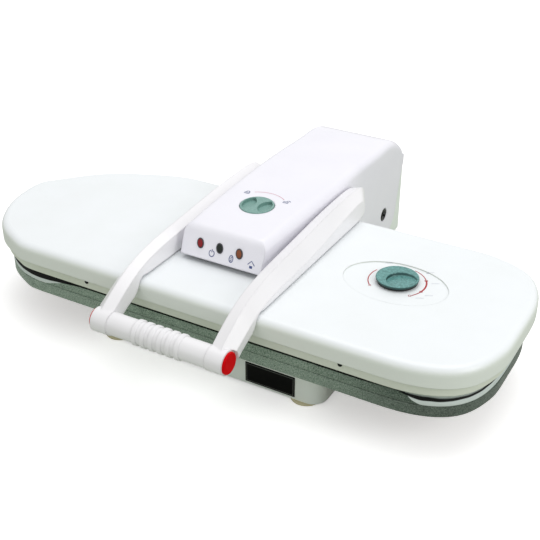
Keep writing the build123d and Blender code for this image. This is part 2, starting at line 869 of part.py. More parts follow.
def hinge_bracket():
    low = base_bottom + base_plate_thickness
    plates = box(-bracket_x - bracket_plate, bracket_x + bracket_plate, pivot_y - bracket_half_depth,
                 pivot_y + bracket_half_depth, low, low + bracket_plate)
    for side in (-1, 1):
        ends = sorted((side * bracket_x, side * (bracket_x + bracket_plate)))
        wing = slab_x([(pivot_y - bracket_half_depth, low), (pivot_y + bracket_half_depth, low),
                       (pivot_y + bracket_radius, pivot_z), (pivot_y - bracket_radius, pivot_z)], ends[0], ends[1])
        wing = wing + rod_x(ends[0], ends[1], pivot_y, pivot_z, bracket_radius)
        plates = plates + wing
    reach = bracket_x + bracket_plate + cut_over
    return plates - rod_x(-reach, reach, pivot_y, pivot_z, axle_radius + run_gap)


def pivot_axle():
    return rod_x(-axle_half_length, axle_half_length, pivot_y, pivot_z, axle_radius)


def link_anchor():
    y, z = anchor_spot()
    low = base_bottom + base_plate_thickness + bracket_plate
    inner = link_half_width + part_gap
    body = rod_x(-inner - crank_plate, inner + crank_plate, y, z, anchor_pin_radius)
    for side in (-1, 1):
        ends = sorted((side * inner, side * (inner + crank_plate)))
        lug = box(ends[0], ends[1], y - link_eye_radius, y + link_eye_radius, low, z)
        body = body + lug + rod_x(ends[0], ends[1], y, z, link_eye_radius)
    return body


spring_turns_count = 5
spring_start = 14.0
spring_wire = 3.0
spring_inner_radius = 6.2
spring_groove = 1.2
spring_leg = 9.0


def lift_springs():
    coils = []
    outer = spring_inner_radius + spring_wire
    for side in (-1, 1):
        profile = [(0, spring_inner_radius)]
        for i in range(spring_turns_count):
            profile.append((i * spring_wire, outer - spring_groove))
            profile.append((i * spring_wire + spring_wire / 2, outer))
        length = spring_turns_count * spring_wire
        profile = profile + [(length, outer - spring_groove), (length, spring_inner_radius)]
        face = make_face(Polyline([(x, r, 0) for x, r in profile], close=True))
        coil = revolve(face, axis=Axis.X)
        start = spring_start if side > 0 else -spring_start - length
        coil = Pos(start, pivot_y, pivot_z) * coil
        x = side * (spring_start + spring_wire / 2)
        leg = box(x - spring_wire / 2, x + spring_wire / 2, pivot_y + spring_inner_radius, pivot_y + spring_leg,
                  base_bottom + base_plate_thickness + bracket_plate, pivot_z)
        coils.append(coil + leg)
    return Compound(children=coils)


def board_tray():
    return plan_slab(board_inset + felt_thickness, board_bottom, board_top)


def board_felt():
    ring = plan_slab(board_inset, board_bottom, board_top)
    return ring - plan_slab(board_inset + felt_thickness, board_bottom - cut_over, board_top + cut_over)


pad_side_radius = 6.5


def board_pad():
    pad = plan_slab(board_inset, board_top, sole_bottom)
    pad = fillet(top_edges(pad, sole_bottom), pad_side_radius)
    return fillet(top_edges(pad, board_top), pad_side_radius / 2)


def label_plate():
    right = base_half_length - label_end_gap
    return box(right - label_length, right, base_front_y - label_thickness, base_front_y, label_bottom_z, label_top_z)


def cord_gland():
    back = tower_rear_y + gland_flange_thickness
    body = rod_y(gland_x, back - gland_length, back, gland_z, gland_radius)
    body = body + rod_y(gland_x, tower_rear_y, back, gland_z, gland_flange_radius)
    return body - rod_y(gland_x, back - gland_length - cut_over, back + cut_over, gland_z, gland_bore)


# Small screws in the rim under the skirt
skirt_screw_left_gap = 7.0
skirt_screw_right_gap = 22.0
skirt_screw_drop = 4.0
skirt_screw_radius = 2.4
skirt_screw_proud = 0.8


def skirt_screws():
    screws = []
    z = skirt_bottom - skirt_screw_drop
    rim = plate_half_width - sole_inset
    left = max(nose_front_length, nose_back_length) - plate_reach + skirt_screw_left_gap
    right = plate_reach - right_curve_length - skirt_screw_right_gap
    for x in (left, right):
        for side in (-1, 1):
            ends = sorted((side * rim, side * (rim + skirt_screw_proud)))
            screws.append(rod_y(x, ends[0], ends[1], z, skirt_screw_radius))
    return Compound(children=screws)


put(cover_shell(), "cover_shell")
put(sole_plate(), "sole_plate")
put(heating_element(), "heating_element")
put(cover_posts(), "cover_posts")
put(thermostat(), "thermostat")
put(thermal_fuse(), "thermal_fuse")
put(dial_knob(), "dial_knob")
put(arm_housing(), "arm_housing")
put(housing_underside(), "housing_underside")
put(saddle(), "saddle")
put(saddle_posts(), "saddle_posts")
put(head_frame(), "head_frame")
put(pivot_bushes(), "pivot_bushes")
put(pivot_caps(), "pivot_caps")
put(water_reservoir(), "water_reservoir")
put(pump(), "pump")
put(steam_hose(), "steam_hose")
put(control_board(), "control_board")
for name, x in zip(("lamp_red", "lamp_green", "lamp_amber"), lamp_places()):
    put(lamp_lens(x), name)
put(lamp_bezels(), "lamp_bezels")
put(lock_knob(), "lock_knob")
put(handle_arm(-1), "handle_arm_left")
put(handle_arm(1), "handle_arm_right")
put(grip(), "grip")
put(grip_cap(-1), "grip_cap_left")
put(grip_cap(1), "grip_cap_right")
put(handle_shaft(), "handle_shaft")
put(crank(), "crank")
put(pressure_link(), "pressure_link")
put(base_shell(), "base_shell")
put(base_plate(), "base_plate")
put(rear_cover(), "rear_cover")
put(feet(), "feet")
put(hinge_bracket(), "hinge_bracket")
put(pivot_axle(), "pivot_axle")
put(link_anchor(), "link_anchor")
put(lift_springs(), "lift_springs")
put(board_tray(), "board_tray")
put(board_felt(), "board_felt")
put(board_pad(), "board_pad")
put(label_plate(), "label_plate")
put(cord_gland(), "cord_gland")
put(skirt_screws(), "skirt_screws")
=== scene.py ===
import math

import bmesh
import bpy
import numpy as np
from mathutils import Matrix, Vector
from mathutils.bvhtree import BVHTree


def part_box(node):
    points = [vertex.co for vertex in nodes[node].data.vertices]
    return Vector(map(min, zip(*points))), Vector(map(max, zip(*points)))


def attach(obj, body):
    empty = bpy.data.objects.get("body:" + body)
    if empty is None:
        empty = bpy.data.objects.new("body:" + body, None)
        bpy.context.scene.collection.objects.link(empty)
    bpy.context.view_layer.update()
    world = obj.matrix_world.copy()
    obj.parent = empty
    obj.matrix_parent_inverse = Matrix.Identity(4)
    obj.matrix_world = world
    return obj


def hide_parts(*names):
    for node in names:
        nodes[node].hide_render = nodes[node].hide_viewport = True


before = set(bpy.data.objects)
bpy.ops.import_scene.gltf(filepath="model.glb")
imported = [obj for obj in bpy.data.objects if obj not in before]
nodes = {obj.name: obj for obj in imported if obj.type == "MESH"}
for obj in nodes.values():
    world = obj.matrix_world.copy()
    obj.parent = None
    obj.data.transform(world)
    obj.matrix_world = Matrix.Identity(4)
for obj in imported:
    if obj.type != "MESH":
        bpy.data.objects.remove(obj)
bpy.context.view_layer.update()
mm = 0.001  # one millimetre
shiftY = -0.06475  # the plates' middle line in the shared frame
fullTurn = 2 * math.pi
print("frame loaded")


def linear(code):
    # sRGB hex to linear colour: c / 12.92 low down, ((c + 0.055) / 1.055) ^ 2.4 above
    channels = [int(code[i:i + 2], 16) / 255 for i in (1, 3, 5)]
    return [c / 12.92 if c <= 0.04045 else ((c + 0.055) / 1.055) ** 2.4 for c in channels] + [1.0]


def add(tree, kind, settings=None, **links):
    # adds one node, sets its fields and inputs, and links its inputs; iN means input number N
    node = tree.nodes.new(kind)
    for key, value in (settings or {}).items():
        if isinstance(key, str) and hasattr(node, key):
            setattr(node, key, value)
        else:
            node.inputs[key].default_value = value
    for key, source in links.items():
        numbered = key[0] == "i" and key[1:].isdigit()
        tree.links.new(source, node.inputs[int(key[1:]) if numbered else key])
    return node


def newMaterial(name):
    # an empty node material and its tree
    made = bpy.data.materials.new(name)
    made.use_nodes = True
    made.node_tree.nodes.clear()
    return made, made.node_tree


# finishes of the rigid pieces: code and second are the colour and its cloud, rough the roughness,
# grain the depth and grainSize the spacing in mm of the moulded or cast texture, edge the rounding in mm;
# speck is the size in mm of flecks in the mass, in place of the slow cloud, spec the strength of the gloss, and
# side the tone of upright faces, a painted shade that makes them darker than the top
finishValues = {
    # injection-moulded ABS with a fine spark-eroded grain: a satin white with a faint green cast
    # its side tone is painted shade on the skirt and the other upright faces
    "coverAbs": {"code": "#F5F9FB", "second": "#F2F6F7", "side": "#E6ECE4", "rough": 0.34, "coat": 0.15,
                 "grain": 0.10, "grainSize": 1.3, "edge": 1.2},
    # the same ABS on the base, a little greener, a painted tint of the shade it stands in below the board
    "baseAbs": {"code": "#F1F9F1", "second": "#EAF2EA", "rough": 0.38, "coat": 0.1, "grain": 0.10,
                "grainSize": 1.3, "edge": 1.2},
    # injection-moulded ABS with a lavender cast, smoother than the cover
    "armAbs": {"code": "#F6F5FC", "second": "#F2F1F9", "rough": 0.3, "coat": 0.2, "grain": 0.06,
               "grainSize": 1.1, "edge": 2.2},
    # the handle's ABS, polished by hands and nearly neutral
    "handleAbs": {"code": "#F7F6F8", "second": "#F3F2F4", "rough": 0.3, "coat": 0.2, "grain": 0.06,
                  "grainSize": 1.1, "edge": 2.2},
    # black glass-filled nylon, matt
    "blackNylon": {"code": "#161715", "second": "#20211E", "rough": 0.55, "grain": 0.3, "grainSize": 1.2, "edge": 0.3},
    # printed polyester film, black and smooth
    "blackFilm": {"code": "#030303", "second": "#060606", "rough": 0.3, "spec": 0.12, "edge": 0.2},
    # moulded thermoplastic rubber, cream and dull
    "creamRubber": {"code": "#D9D3AF", "second": "#CCC59F", "rough": 0.65, "grain": 0.2, "grainSize": 1.0, "edge": 0.6},
    # die-cast aluminium under beige heat-proof paint, with a slight orange peel
    "beigePaint": {"code": "#DEE4D6", "second": "#D5DCCB", "rough": 0.45, "grain": 0.25, "grainSize": 2.2, "edge": 0.8},
    # zinc-plated pressed steel, grey with a soft shine
    "zincSteel": {"code": "#B4B8BA", "second": "#9DA2A5", "rough": 0.34, "metal": 1.0, "grain": 0.15,
                  "grainSize": 2.0, "edge": 0.4},
    # ground bearing steel, bright and nearly a mirror
    "groundSteel": {"code": "#C9CCCE", "second": "#B5B9BC", "rough": 0.18, "metal": 1.0, "grain": 0.1,
                    "grainSize": 0.9, "edge": 0.2},
    # black chrome on the hinge buttons and the small screws, a dark mirror
    "darkChrome": {"code": "#202321", "second": "#121413", "rough": 0.2, "metal": 1.0, "edge": 1.4},
    # sintered bronze, brown and oily
    "oilBronze": {"code": "#A9855A", "second": "#8D6C45", "rough": 0.42, "metal": 1.0, "grain": 0.3,
                  "grainSize": 0.9, "edge": 0.2},
    # pressed hardboard of the ironing board, brown and fibrous
    "hardboard": {"code": "#8A7558", "second": "#6E5A3F", "rough": 0.8, "grain": 0.5, "grainSize": 1.6, "edge": 0.3},
    # glass-filled nylon dyed teal, with pale flecks and a dull shine
    # its side tone is painted shade on the pocket's wall and the dial's rim
    "darkTealNylon": {"code": "#74AFAB", "second": "#1F4E4B", "side": "#1F4543", "speck": 2.0, "rough": 0.36,
                      "spec": 0.45, "grain": 0.35, "grainSize": 1.1, "edge": 0.6},
    "paleTealNylon": {"code": "#8FB4AC", "second": "#5F8B83", "speck": 1.2, "rough": 0.42, "spec": 0.35,
                      "grain": 0.3, "grainSize": 1.1, "edge": 0.6},
    # moulded red ABS, a deep plain red with little shine
    "redAbs": {"code": "#DC000A", "second": "#CC000A", "rough": 0.32, "spec": 0.06, "edge": 1.0},
    # tinted polycarbonate over unlit lamps: deep in colour and smooth
    "redLens": {"code": "#8A0F18", "second": "#4A080D", "rough": 0.12, "spec": 0.3, "edge": 0.7},
    "greenLens": {"code": "#101C13", "second": "#070D09", "rough": 0.12, "spec": 0.3, "edge": 0.7},
    "amberLens": {"code": "#9A5228", "second": "#63331A", "rough": 0.12, "spec": 0.3, "edge": 0.7},
    # dark grey ABS rings round the lamps
    "greyRing": {"code": "#3F3E43", "second": "#353439", "rough": 0.4, "edge": 0.15},
    # natural polypropylene of the water tank, milky
    "milkyTank": {"code": "#E3E6E4", "second": "#D5DAD8", "rough": 0.5, "edge": 0.5},
    # stove-enamelled steel of the pump motor
    "pumpEnamel": {"code": "#3C4043", "second": "#2B2E30", "rough": 0.4, "coat": 0.3, "edge": 0.3},
    # red-brown silicone tube
    "siliconeTube": {"code": "#A5483C", "second": "#8F3B31", "rough": 0.5, "edge": 0.2},
    # glass-fibre circuit board in green lacquer
    "greenBoard": {"code": "#1F5A3A", "second": "#174A2E", "rough": 0.35, "coat": 0.4, "edge": 0.1},
    # pad-printed inks, thin and dull
    "navyInk": {"code": "#3A4A80", "second": "#44548A", "rough": 0.5},
    "redInk": {"code": "#B0121E", "second": "#A01018", "rough": 0.5},
    "pinkInk": {"code": "#DDB0BC", "second": "#D6A6B4", "rough": 0.5},
    "greyInk": {"code": "#BFC2CF", "second": "#B6B9C8", "rough": 0.5},
    "silverInk": {"code": "#70746F", "second": "#666A65", "rough": 0.45},
}
# what all finishes share: clouds about 55 mm wide, the part of the noise that turns one tone into the other, the
# roughness at the cloud's two ends, how far up a face looks where the side tone ends and starts, sizes in mm
finishShared = {"cloudScale": 18.0, "toneFrom": 0.35, "toneTo": 0.75, "smoother": 0.92, "rougher": 1.12,
                "speckRough": 0.8, "coatRough": 0.08, "topFrom": 0.9, "sideFrom": 0.15, "edgeSamples": 4,
                "grainDeep": 0.1}
easing = {"interpolation_type": "SMOOTHSTEP"}


def makeFinish(name, v):
    # colour = mix of two tones by a slow cloud; normal = rounded edge plus a fine grain; the cloud also
    # sways the roughness by a tenth, as handled plastic and metal do
    f = finishShared
    made, tree = newMaterial(name)
    place = add(tree, "ShaderNodeTexCoord").outputs["Object"]
    spread = {"Scale": f["cloudScale"], "Detail": 3.0}
    if v.get("speck"):
        spread = {"Scale": 1 / (v["speck"] * mm), "Detail": 3.0, "Roughness": f["speckRough"]}
    cloud = add(tree, "ShaderNodeTexNoise", spread, Vector=place)
    tone = add(tree, "ShaderNodeMix", {"data_type": "RGBA", 6: linear(v["code"]), 7: linear(v["second"])})
    share = add(tree, "ShaderNodeMapRange", {"From Min": f["toneFrom"], "From Max": f["toneTo"]},
                Value=cloud.outputs[0])
    tree.links.new(share.outputs[0], tone.inputs[0])
    sway = add(tree, "ShaderNodeMapRange", {"To Min": v["rough"] * f["smoother"], "To Max": v["rough"] * f["rougher"]},
               Value=share.outputs[0])
    body = add(tree, "ShaderNodeBsdfPrincipled",
               {"Metallic": v.get("metal", 0.0), "Coat Weight": v.get("coat", 0.0), "Coat Roughness": f["coatRough"],
                "Specular IOR Level": v.get("spec", 0.5)}, Roughness=sway.outputs[0])
    colour = tone.outputs[2]
    # painted shade: upright faces blend into the darker side tone
    if v.get("side"):
        facing = add(tree, "ShaderNodeSeparateXYZ", {}, Vector=add(tree, "ShaderNodeTexCoord").outputs["Normal"])
        upright = add(tree, "ShaderNodeMapRange", {**easing, "From Min": f["topFrom"], "From Max": f["sideFrom"]},
                      Value=facing.outputs[2])
        colour = add(tree, "ShaderNodeMix", {"data_type": "RGBA", 7: linear(v["side"])}, i0=upright.outputs[0],
                     i6=colour).outputs[2]
    tree.links.new(colour, body.inputs["Base Color"])
    normal = None
    if v.get("edge"):
        normal = add(tree, "ShaderNodeBevel", {"Radius": v["edge"] * mm, "samples": f["edgeSamples"]}).outputs[0]
    if v.get("grain"):
        fine = add(tree, "ShaderNodeTexNoise", {"Scale": 1 / (v["grainSize"] * mm), "Detail": 2.0}, Vector=place)
        bump = add(tree, "ShaderNodeBump", {"Strength": v["grain"], "Distance": f["grainDeep"] * mm},
                   Height=fine.outputs[0])
        if normal:
            tree.links.new(normal, bump.inputs["Normal"])
        normal = bump.outputs[0]
    if normal:
        tree.links.new(normal, body.inputs["Normal"])
    add(tree, "ShaderNodeOutputMaterial", {}, Surface=body.outputs[0])
    return made


finishes = {name: makeFinish(name, v) for name, v in finishValues.items()}

# needle felt: a grey-green mat of short fibres, speckled fibre by fibre; its speckle is drawn at 1.4 mm,
# a few fibres wide, because single fibres are too fine to show; sizes in mm, the painted end shade from and to in
# metres along X
feltValues = {"dark": "#536658", "middle": "#8B9F8F", "pale": "#BAC8B9", "darkAt": 0.34, "middleAt": 0.5,
              "paleAt": 0.68, "speckSize": 1.4, "speckRough": 0.75, "patchSize": 12.0, "patchFrom": 0.3,
              "patchTo": 0.7, "patchDim": 0.9, "patchBright": 1.08, "paintedEndShadeFrom": 0.1, "paintedEndShadeTo": 0.28, "paintedEndShade": 0.36,
              "rough": 0.9, "sheen": 0.3, "sheenRough": 0.4, "fuzzSize": 0.8, "fuzz": 0.6, "fuzzDeep": 0.4}
# silver-coated cotton drawn over the top and the ends of the pad, and a painted black shadow round its shoulder under
# the hot
# plate: ends, edges and shadow in metres, wave and soft in mm; the cloth's edge wanders by under a millimetre
clothValues = {"silver": "#D6E0DC", "shadow": "#0B0D0B", "leftEnd": -0.215, "leftStart": -0.14, "rightEnd": 0.262,
               "rightStart": 0.226, "lowEdge": 0.0578, "highEdge": 0.0745, "shadowFrom": 0.0679,
               "shadowTo": 0.0686, "shadowDrop": 0.0048, "waveScale": 60.0, "wave": 1.6, "soft": 0.3,
               "flatFrom": 0.72, "flatTo": 0.92, "rough": 0.5, "gloss": 0.12}


def makeCloth(name, withSilver):
    # felt colour by speckle noise on three tones, brightened patch by patch and darker towards the round end by painted
    # shade;
    # silver on the flat top, and where height is over an edge line that sinks towards the ends by smoothstep;
    # a painted black shadow round the shoulder, under the hot plate's rim
    v, c = feltValues, clothValues
    made, tree = newMaterial(name)
    place = add(tree, "ShaderNodeTexCoord").outputs["Object"]
    speck = add(tree, "ShaderNodeTexNoise", {"Scale": 1 / (v["speckSize"] * mm), "Detail": 3.0,
                                             "Roughness": v["speckRough"]}, Vector=place)
    ramp = add(tree, "ShaderNodeValToRGB", {}, Fac=speck.outputs[0])
    tones = ramp.color_ramp.elements
    tones[0].position, tones[0].color = v["darkAt"], linear(v["dark"])
    tones[1].position, tones[1].color = v["paleAt"], linear(v["pale"])
    tones.new(v["middleAt"]).color = linear(v["middle"])
    patch = add(tree, "ShaderNodeTexNoise", {"Scale": 1 / (v["patchSize"] * mm), "Detail": 2.0}, Vector=place)
    value = add(tree, "ShaderNodeMapRange", {"From Min": v["patchFrom"], "From Max": v["patchTo"],
                                             "To Min": v["patchDim"], "To Max": v["patchBright"]},
                Value=patch.outputs[0])
    axes = add(tree, "ShaderNodeSeparateXYZ", {}, Vector=place)
    # painted shade: the felt grows darker towards the round end
    paintedEndShade = add(tree, "ShaderNodeMapRange", {**easing, "From Min": v["paintedEndShadeFrom"], "From Max": v["paintedEndShadeTo"],
                                            "To Min": 1.0, "To Max": v["paintedEndShade"]}, Value=axes.outputs[0])
    value = add(tree, "ShaderNodeMath", {"operation": "MULTIPLY"}, i0=value.outputs[0], i1=paintedEndShade.outputs[0])
    tone = add(tree, "ShaderNodeHueSaturation", {}, Color=ramp.outputs[0], Value=value.outputs[0])
    colour = tone.outputs[0]
    body = add(tree, "ShaderNodeBsdfPrincipled", {"Roughness": v["rough"], "Sheen Weight": v["sheen"],
                                                  "Sheen Roughness": v["sheenRough"]})
    fuzz = add(tree, "ShaderNodeTexNoise", {"Scale": 1 / (v["fuzzSize"] * mm), "Detail": 2.0}, Vector=place)
    bump = add(tree, "ShaderNodeBump", {"Strength": v["fuzz"], "Distance": v["fuzzDeep"] * mm},
               Height=fuzz.outputs[0])
    tree.links.new(bump.outputs[0], body.inputs["Normal"])
    if withSilver:
        left = add(tree, "ShaderNodeMapRange", {**easing, "From Min": c["leftStart"], "From Max": c["leftEnd"]},
                   Value=axes.outputs[0])
        right = add(tree, "ShaderNodeMapRange", {**easing, "From Min": c["rightStart"], "From Max": c["rightEnd"]},
                    Value=axes.outputs[0])
        ends = add(tree, "ShaderNodeMath", {"operation": "MAXIMUM"}, i0=left.outputs[0], i1=right.outputs[0])
        edge = add(tree, "ShaderNodeMapRange", {"To Min": c["highEdge"], "To Max": c["lowEdge"]},
                   Value=ends.outputs[0])
        wave = add(tree, "ShaderNodeTexNoise", {"Scale": c["waveScale"]}, Vector=place)
        sway = add(tree, "ShaderNodeMath", {"operation": "MULTIPLY_ADD", 1: c["wave"] * mm, 2: -c["wave"] / 2 * mm},
                   i0=wave.outputs[0])
        over = add(tree, "ShaderNodeMath", {"operation": "SUBTRACT"}, i0=axes.outputs[2], i1=edge.outputs[0])
        over = add(tree, "ShaderNodeMath", {"operation": "ADD"}, i0=over.outputs[0], i1=sway.outputs[0])
        mask = add(tree, "ShaderNodeMapRange", {**easing, "From Min": -c["soft"] * mm, "From Max": c["soft"] * mm},
                   Value=over.outputs[0])
        facing = add(tree, "ShaderNodeSeparateXYZ", {}, Vector=add(tree, "ShaderNodeTexCoord").outputs["Normal"])
        flat = add(tree, "ShaderNodeMapRange", {**easing, "From Min": c["flatFrom"], "From Max": c["flatTo"]},
                   Value=facing.outputs[2])
        mask = add(tree, "ShaderNodeMath", {"operation": "MAXIMUM"}, i0=mask.outputs[0], i1=flat.outputs[0])
        cloth = add(tree, "ShaderNodeMix", {"data_type": "RGBA", 7: linear(c["silver"])}, i0=mask.outputs[0],
                    i6=colour)
        # painted shadow: black on the shoulder just under the hot plate, set lower towards the ends
        lower = add(tree, "ShaderNodeMath", {"operation": "MULTIPLY_ADD", 1: c["shadowDrop"]}, i0=ends.outputs[0],
                    i2=axes.outputs[2])
        shadowBand = add(tree, "ShaderNodeMapRange", {**easing, "From Min": c["shadowFrom"], "From Max": c["shadowTo"]},
                   Value=lower.outputs[0])
        shadowBand = add(tree, "ShaderNodeMath", {"operation": "SUBTRACT", "use_clamp": True}, i0=shadowBand.outputs[0],
                   i1=flat.outputs[0])
        line = add(tree, "ShaderNodeMix", {"data_type": "RGBA", 7: linear(c["shadow"])}, i0=shadowBand.outputs[0],
                   i6=cloth.outputs[2])
        colour = line.outputs[2]
        rough = add(tree, "ShaderNodeMapRange", {"To Min": v["rough"], "To Max": c["rough"]}, Value=mask.outputs[0])
        tree.links.new(rough.outputs[0], body.inputs["Roughness"])
        body.inputs["Sheen Weight"].default_value = 0.0  # pressed cloth has no fuzz
        body.inputs["Specular IOR Level"].default_value = c["gloss"]
    tree.links.new(colour, body.inputs["Base Color"])
    add(tree, "ShaderNodeOutputMaterial", {}, Surface=body.outputs[0])
    return made


needleFelt = makeCloth("needleFelt", False)
silverCotton = makeCloth("silverCotton", True)

dressing = {
    "coverAbs": ["cover_shell"],
    "baseAbs": ["base_shell", "rear_cover"],
    "armAbs": ["arm_housing"],
    "handleAbs": ["handle_arm_left", "handle_arm_right", "grip"],
    "blackNylon": ["housing_underside", "saddle", "base_plate", "cord_gland"],
    "blackFilm": ["label_plate"],
    "creamRubber": ["feet"],
    "beigePaint": ["sole_plate"],
    "zincSteel": ["hinge_bracket", "link_anchor", "head_frame", "crank", "pressure_link", "cover_posts",
                  "saddle_posts", "thermostat"],
    "groundSteel": ["pivot_axle", "handle_shaft", "lift_springs", "heating_element"],
    "darkChrome": ["pivot_caps", "skirt_screws"],
    "oilBronze": ["pivot_bushes"],
    "hardboard": ["board_tray"],
    "darkTealNylon": ["dial_knob"],
    "paleTealNylon": ["lock_knob"],
    "redAbs": ["grip_cap_left", "grip_cap_right"],
    "redLens": ["lamp_red"],
    "greenLens": ["lamp_green"],
    "amberLens": ["lamp_amber"],
    "greyRing": ["lamp_bezels"],
    "milkyTank": ["water_reservoir", "thermal_fuse"],
    "pumpEnamel": ["pump"],
    "siliconeTube": ["steam_hose"],
    "greenBoard": ["control_board"],
}


def dress(name, finish):
    # one finish on a whole node
    nodes[name].data.materials.clear()
    nodes[name].data.materials.append(finish)


for finish, names in dressing.items():
    for name in names:
        dress(name, finishes[finish])
for name in ("board_felt", "board_pad"):
    dress(name, needleFelt)
print("finishes set on", len(nodes), "nodes")


def meshOf(name, points, faces, finish, smooth=True):
    # a mesh object at the origin from arrays of points and faces
    made = bpy.data.meshes.new(name)
    made.from_pydata(np.asarray(points).tolist(), [], [list(f) for f in faces])
    made.update()
    made.polygons.foreach_set("use_smooth", [smooth] * len(made.polygons))
    made.materials.append(finish)
    thing = bpy.data.objects.new(name, made)
    bpy.context.scene.collection.objects.link(thing)
    return thing


def closeMesh(data, merge=0.001):
    # merges points nearer than so many mm and turns all faces outwards
    whole = bmesh.new()
    whole.from_mesh(data)
    bmesh.ops.remove_doubles(whole, verts=whole.verts, dist=merge * mm)
    bmesh.ops.recalc_face_normals(whole, faces=whole.faces)
    whole.to_mesh(data)
    whole.free()


def solidOf(name, rings, finish, body, node):
    # a closed piece from rings of points in mm: ring r, place i joins i + 1 round the ring and ring r + 1 above it,
    # and a flat face closes the first and the last ring
    around = len(rings[0])
    r, i = np.meshgrid(np.arange(len(rings) - 1), np.arange(around), indexing="ij")
    j = (i + 1) % around
    low, high = r * around, (r + 1) * around
    faces = np.stack([low + i, low + j, high + j, high + i], -1).reshape(-1, 4).tolist()
    last = (len(rings) - 1) * around
    faces += [list(range(around))[::-1], [last + k for k in range(around)]]
    thing = meshOf(name, np.concatenate(rings) * mm + [0, shiftY, 0], faces, finish)
    closeMesh(thing.data)
    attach(thing, body)
    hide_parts(node)
    return thing


# the pad on the board: sizes in mm on the pressing plates' plan; folds and pleats are counted round the pad, and
# the sag starts at a height and is in full so much higher, from the inner share of the crown outwards
padValues = {"halfWidth": 124.5, "reach": 320.0, "rightLength": 122.4, "frontLength": 116.4, "backLength": 176.0,
             "rightPower": 3.2, "frontPower": 2.06, "backPower": 1.6, "inset": 8.7, "bottom": 57.6, "top": 72.75,
             "round": 6.5, "crown": (0.01, 0.2, 0.4, 0.6, 0.8, 0.9, 0.95, 1.0), "crownInset": 4.0,
             "sideInsets": (-0.25, -0.3, 0.0), "sideHeights": (64.0, 61.5, 59.4), "foot": 1.2, "footTall": 1.8,
             "fold": 0.3, "folds": ((61, 0.0, 0.5), (97, 1.3, 0.3), (23, 0.4, 0.2)), "foldAt": 66.0,
             "foldSpread": 4.5, "pleat": 0.8, "pleats": (47, 5), "pleatFrom": 0.6, "sag": 7.0, "sagFrom": 61.5,
             "sagOver": 7.0, "sagInner": 0.8, "sagPowers": (0.7, 1.5), "around": 720, "quarterPoints": 200,
             "wayStep": 6.0}


def padOutline(inset):
    # plan of the plates: each quarter x = a sin^(2/n) t, y = b cos^(2/n) t, joined by straight sides and spaced evenly
    v = padValues
    half, reach = v["halfWidth"] - inset, v["reach"] - inset
    t = np.linspace(0, math.pi / 2, v["quarterPoints"])

    def quarter(startX, endX, side, power):
        return np.stack([startX + (endX - startX) * np.sin(t) ** (2 / power), side * np.cos(t) ** (2 / power)], 1)

    right = v["reach"] - v["rightLength"]
    line = np.concatenate([
        quarter(right, reach, -half, v["rightPower"]),
        quarter(right, reach, half, v["rightPower"])[::-1],
        quarter(v["backLength"] - v["reach"], -reach, half, v["backPower"]),
        quarter(v["frontLength"] - v["reach"], -reach, -half, v["frontPower"])[::-1],
    ])
    line = np.concatenate([line, line[:1]])
    keep = np.concatenate([[True], np.hypot(*np.diff(line, axis=0).T) > 1e-6])
    line = line[keep]
    along = np.concatenate([[0], np.cumsum(np.hypot(*np.diff(line, axis=0).T))])
    s = np.linspace(0, along[-1], v["around"], endpoint=False)
    return np.stack([np.interp(s, along, line[:, 0]), np.interp(s, along, line[:, 1])], 1)


def makePad():
    # rings of the plan: scaled down for the flat crown, then drawn in by an inset at a height for a quarter-circle
    # shoulder, a bulging side and a tucked foot; each ring moves along its outward normal by small folds, and by
    # wider pleats towards the two ends, where the shoulder also sags away from the hot plate
    v = padValues
    n, crown = v["around"], len(v["crown"])
    turn = np.linspace(0, math.pi / 2, 8)
    tuck = turn[2::2]
    scales = np.concatenate([v["crown"], [1.0] * (len(turn) + len(v["sideInsets"]) + len(tuck))])
    insets = np.concatenate([[v["round"] + v["crownInset"]] * crown, v["round"] * (1 - np.sin(turn)),
                             v["sideInsets"], v["foot"] * (1 - np.cos(tuck))])
    heights = np.concatenate([[v["top"]] * crown, v["top"] - v["round"] * (1 - np.cos(turn)), v["sideHeights"],
                              v["bottom"] + v["footTall"] * (1 - np.sin(tuck))])
    base = padOutline(v["inset"])
    away = base - padOutline(v["inset"] + v["wayStep"])
    away /= np.maximum(np.hypot(*away.T), 1e-6)[:, None]
    phase = np.arange(n) / n * fullTurn
    fold = sum(np.sin(phase * count + start) * part for count, start, part in v["folds"]) * v["fold"]
    end = np.clip((np.abs(base[:, 0]) / v["reach"] - v["pleatFrom"]) / (1 - v["pleatFrom"]), 0, 1)
    many, few = v["pleats"]
    fold -= (0.5 + 0.5 * np.sin(phase * many + np.sin(phase * few))) ** 3 * v["pleat"] * end
    share = np.exp(-((heights - v["foldAt"]) / v["foldSpread"]) ** 2)
    higher = np.clip((heights - v["sagFrom"]) / v["sagOver"], 0, 1)
    outer = np.clip((scales - v["sagInner"]) / (1 - v["sagInner"]), 0, 1) ** v["sagPowers"][1]
    sag = v["sag"] * end ** v["sagPowers"][0] * (higher * outer)[:, None]
    rings = [np.column_stack([padOutline(v["inset"] + inset) * scale + away * (fold * s)[:, None], z - low])
             for scale, inset, z, s, low in zip(scales, insets, heights, share, sag)]
    return solidOf("padCushion", rings, silverCotton, "base", "board_pad")


pad = makePad()
print("pad made")


